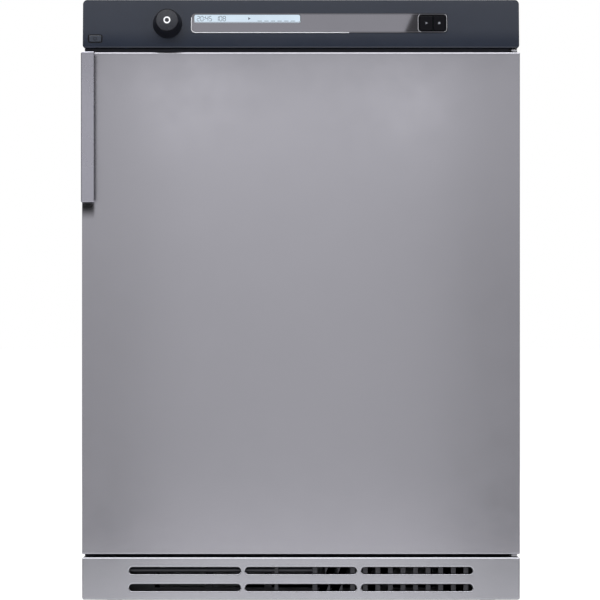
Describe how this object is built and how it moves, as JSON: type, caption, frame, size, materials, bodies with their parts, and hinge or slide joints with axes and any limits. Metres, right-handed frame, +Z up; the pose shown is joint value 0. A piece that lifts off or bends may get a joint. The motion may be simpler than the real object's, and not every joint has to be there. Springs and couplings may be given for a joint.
{
  "type": "vented tumble dryer",
  "caption": "Free-standing front-loading vented tumble dryer with opening door, turning drum, belt drive, fan and rear exhaust spigot.",
  "frame": {"origin": "floor level, under the centre of the overall bounding box, with the feet screwed right in", "axes": "+Z up; the front with the door and the control panel faces -Y; +X is to the right of a person facing the front"},
  "size_m": [0.595, 0.648, 0.85],
  "materials": {
    "steel_door": "fine satin",
    "steel_plinth": "fine satin",
    "handle_metal": "satin metallic",
    "cabinet_paint": "satin metallic",
    "top_paint": "satin metallic",
    "frame_paint": "satin",
    "panel_plastic": "metallic anthracite, satin",
    "base_plastic": "matt",
    "trim_metal": "mirror-like silver",
    "window_plastic": "lit pale blue, gloss",
    "bezel_plastic": "gloss",
    "key_plastic": "gloss",
    "power_plastic": "satin",
    "knob_plastic": "satin",
    "board": "solder mask",
    "encoder_plastic": "matt",
    "grille_plastic": "matt",
    "zinc": "zinc plated",
    "hinge_steel": "zinc plated",
    "liner_plastic": "satin",
    "bulkhead_plastic": "matt",
    "catch_plastic": "matt",
    "felt": "felt",
    "bearing_plastic": "matt",
    "galvanised": "zinc coated sheet",
    "heater_steel": "heat darkened",
    "sensor_plastic": "matt",
    "motor_alloy": "cast",
    "bracket_steel": "zinc coated sheet",
    "capacitor_can": "drawn can",
    "duct_plastic": "matt",
    "spigot_plastic": "matt",
    "box_plastic": "matt",
    "lamp_ceramic": "glazed",
    "lens_glass": "clear, fluted",
    "belt_rubber": "ribbed",
    "axle_steel": "turned",
    "cable": "matt",
    "drum_steel": "bright satin",
    "lifter_plastic": "satin",
    "rotor_steel": "turned",
    "fan_plastic": "matt",
    "pulley_plastic": "matt",
    "roller_rubber": "matt",
    "foot_plastic": "matt",
    "seal_rubber": "matt",
    "filter_plastic": "matt",
    "mesh_fabric": "fine woven mesh"
  },
  "bodies": {
    "cabinet": {"base_pan": "base_plastic", "side_panel_left": "cabinet_paint", "side_panel_right": "cabinet_paint", "rear_panel": "galvanised", "front_frame": "frame_paint", "front_bulkhead": "bulkhead_plastic", "worktop": "top_paint", "control_panel": "panel_plastic", "display_trim": "trim_metal", "display_window": "window_plastic", "button_bezel": "bezel_plastic", "control_board": "board", "selector_encoder": "encoder_plastic", "plinth_panel": "steel_plinth", "plinth_grille": "grille_plastic", "door_hinges": "hinge_steel", "door_catch": "catch_plastic", "drum_felt_seals": "felt", "rear_bearing": "bearing_plastic", "rear_duct_cover": "galvanised", "heater_element": "heater_steel", "sensors": "sensor_plastic", "motor_housing": "motor_alloy", "motor_bracket": "bracket_steel", "run_capacitor": "capacitor_can", "fan_housing": "duct_plastic", "front_air_duct": "duct_plastic", "exhaust_duct": "spigot_plastic", "terminal_box": "box_plastic", "drum_lamp": "lamp_ceramic", "lamp_lens": "lens_glass", "fasteners": "zinc", "drive_belt": "belt_rubber", "roller_axles": "axle_steel", "wiring_loom": "cable"},
    "drum": {"drum_shell": "drum_steel", "drum_rear_wall": "drum_steel", "drum_lifters": "lifter_plastic", "drum_shaft": "axle_steel"},
    "motor_shaft": {"motor_rotor": "rotor_steel", "fan_impeller": "fan_plastic"},
    "tensioner": {"tension_arm": "bracket_steel"},
    "idler": {"idler_pulley": "pulley_plastic"},
    "left_roller": {"roller_left": "roller_rubber"},
    "right_roller": {"roller_right": "roller_rubber"},
    "selector": {"selector_knob": "knob_plastic"},
    "power_key": {"power_button": "power_plastic"},
    "start_key": {"start_button": "key_plastic"},
    "stop_key": {"stop_button": "key_plastic"},
    "left_front_foot": {"foot_front_left": "foot_plastic"},
    "right_front_foot": {"foot_front_right": "foot_plastic"},
    "left_rear_foot": {"foot_rear_left": "foot_plastic"},
    "right_rear_foot": {"foot_rear_right": "foot_plastic"},
    "door": {"door_panel": "steel_door", "door_liner": "liner_plastic", "door_handle": "handle_metal", "door_seal": "seal_rubber", "latch_strike": "zinc"},
    "lint_filter": {"filter_frame": "filter_plastic", "filter_mesh": "mesh_fabric"}
  },
  "joints": [
    {"name": "door_hinge", "type": "hinge", "parent": "cabinet", "child": "door", "pos_m": [0.2885, -0.28, 0.437], "axis": [0, 0, 1], "range_deg": [0, 170]},
    {"name": "lint_filter_slide", "type": "slide", "parent": "door", "child": "lint_filter", "axis": [0, 0, 1], "range_m": [0, 0.13]},
    {"name": "selector_turn", "type": "hinge", "parent": "cabinet", "child": "selector", "pos_m": [-0.1814, -0.29064, 0.81687], "axis": [0, -0.9903, 0.1392], "continuous": true},
    {"name": "power_press", "type": "slide", "parent": "cabinet", "child": "power_key", "axis": [0, 0.9903, -0.1392], "range_m": [0, 0.003], "stiffness_N_per_m": 800},
    {"name": "start_press", "type": "slide", "parent": "cabinet", "child": "start_key", "axis": [0, 0.9903, -0.1392], "range_m": [0, 0.0012], "stiffness_N_per_m": 800},
    {"name": "stop_press", "type": "slide", "parent": "cabinet", "child": "stop_key", "axis": [0, 0.9903, -0.1392], "range_m": [0, 0.0012], "stiffness_N_per_m": 800},
    {"name": "drum_spin", "type": "hinge", "parent": "cabinet", "child": "drum", "pos_m": [0, 0, 0.4989], "axis": [0, 1, 0], "continuous": true},
    {"name": "motor_spin", "type": "hinge", "parent": "cabinet", "child": "motor_shaft", "pos_m": [0.15001, -0.066, 0.14889], "axis": [0, 1, 0], "continuous": true},
    {"name": "left_roller_spin", "type": "hinge", "parent": "cabinet", "child": "left_roller", "pos_m": [-0.15332, -0.2083, 0.27994], "axis": [0, 1, 0], "continuous": true},
    {"name": "right_roller_spin", "type": "hinge", "parent": "cabinet", "child": "right_roller", "pos_m": [0.15332, -0.2083, 0.27994], "axis": [0, 1, 0], "continuous": true},
    {"name": "tensioner_swing", "type": "hinge", "parent": "cabinet", "child": "tensioner", "pos_m": [0.04501, 0.005, 0.13289], "axis": [0, 1, 0], "range_deg": [0, 12], "stiffness_Nm_per_rad": 1.5, "springref_deg": -20.05},
    {"name": "idler_spin", "type": "hinge", "parent": "tensioner", "child": "idler", "pos_m": [0.09501, 0.02, 0.14789], "axis": [0, 1, 0], "continuous": true},
    {"name": "left_front_foot_level", "type": "slide", "parent": "cabinet", "child": "left_front_foot", "axis": [0, 0, -1], "range_m": [0, 0.02]},
    {"name": "left_rear_foot_level", "type": "slide", "parent": "cabinet", "child": "left_rear_foot", "axis": [0, 0, -1], "range_m": [0, 0.02]},
    {"name": "right_front_foot_level", "type": "slide", "parent": "cabinet", "child": "right_front_foot", "axis": [0, 0, -1], "range_m": [0, 0.02]},
    {"name": "right_rear_foot_level", "type": "slide", "parent": "cabinet", "child": "right_rear_foot", "axis": [0, 0, -1], "range_m": [0, 0.02]}
  ],
  "couplings": [
    {"joint": "motor_spin", "follows": "drum_spin", "ratio": 38.703},
    {"joint": "idler_spin", "follows": "drum_spin", "ratio": -13.383},
    {"joint": "left_roller_spin", "follows": "drum_spin", "ratio": -11.136},
    {"joint": "right_roller_spin", "follows": "drum_spin", "ratio": -11.136}
  ]
}
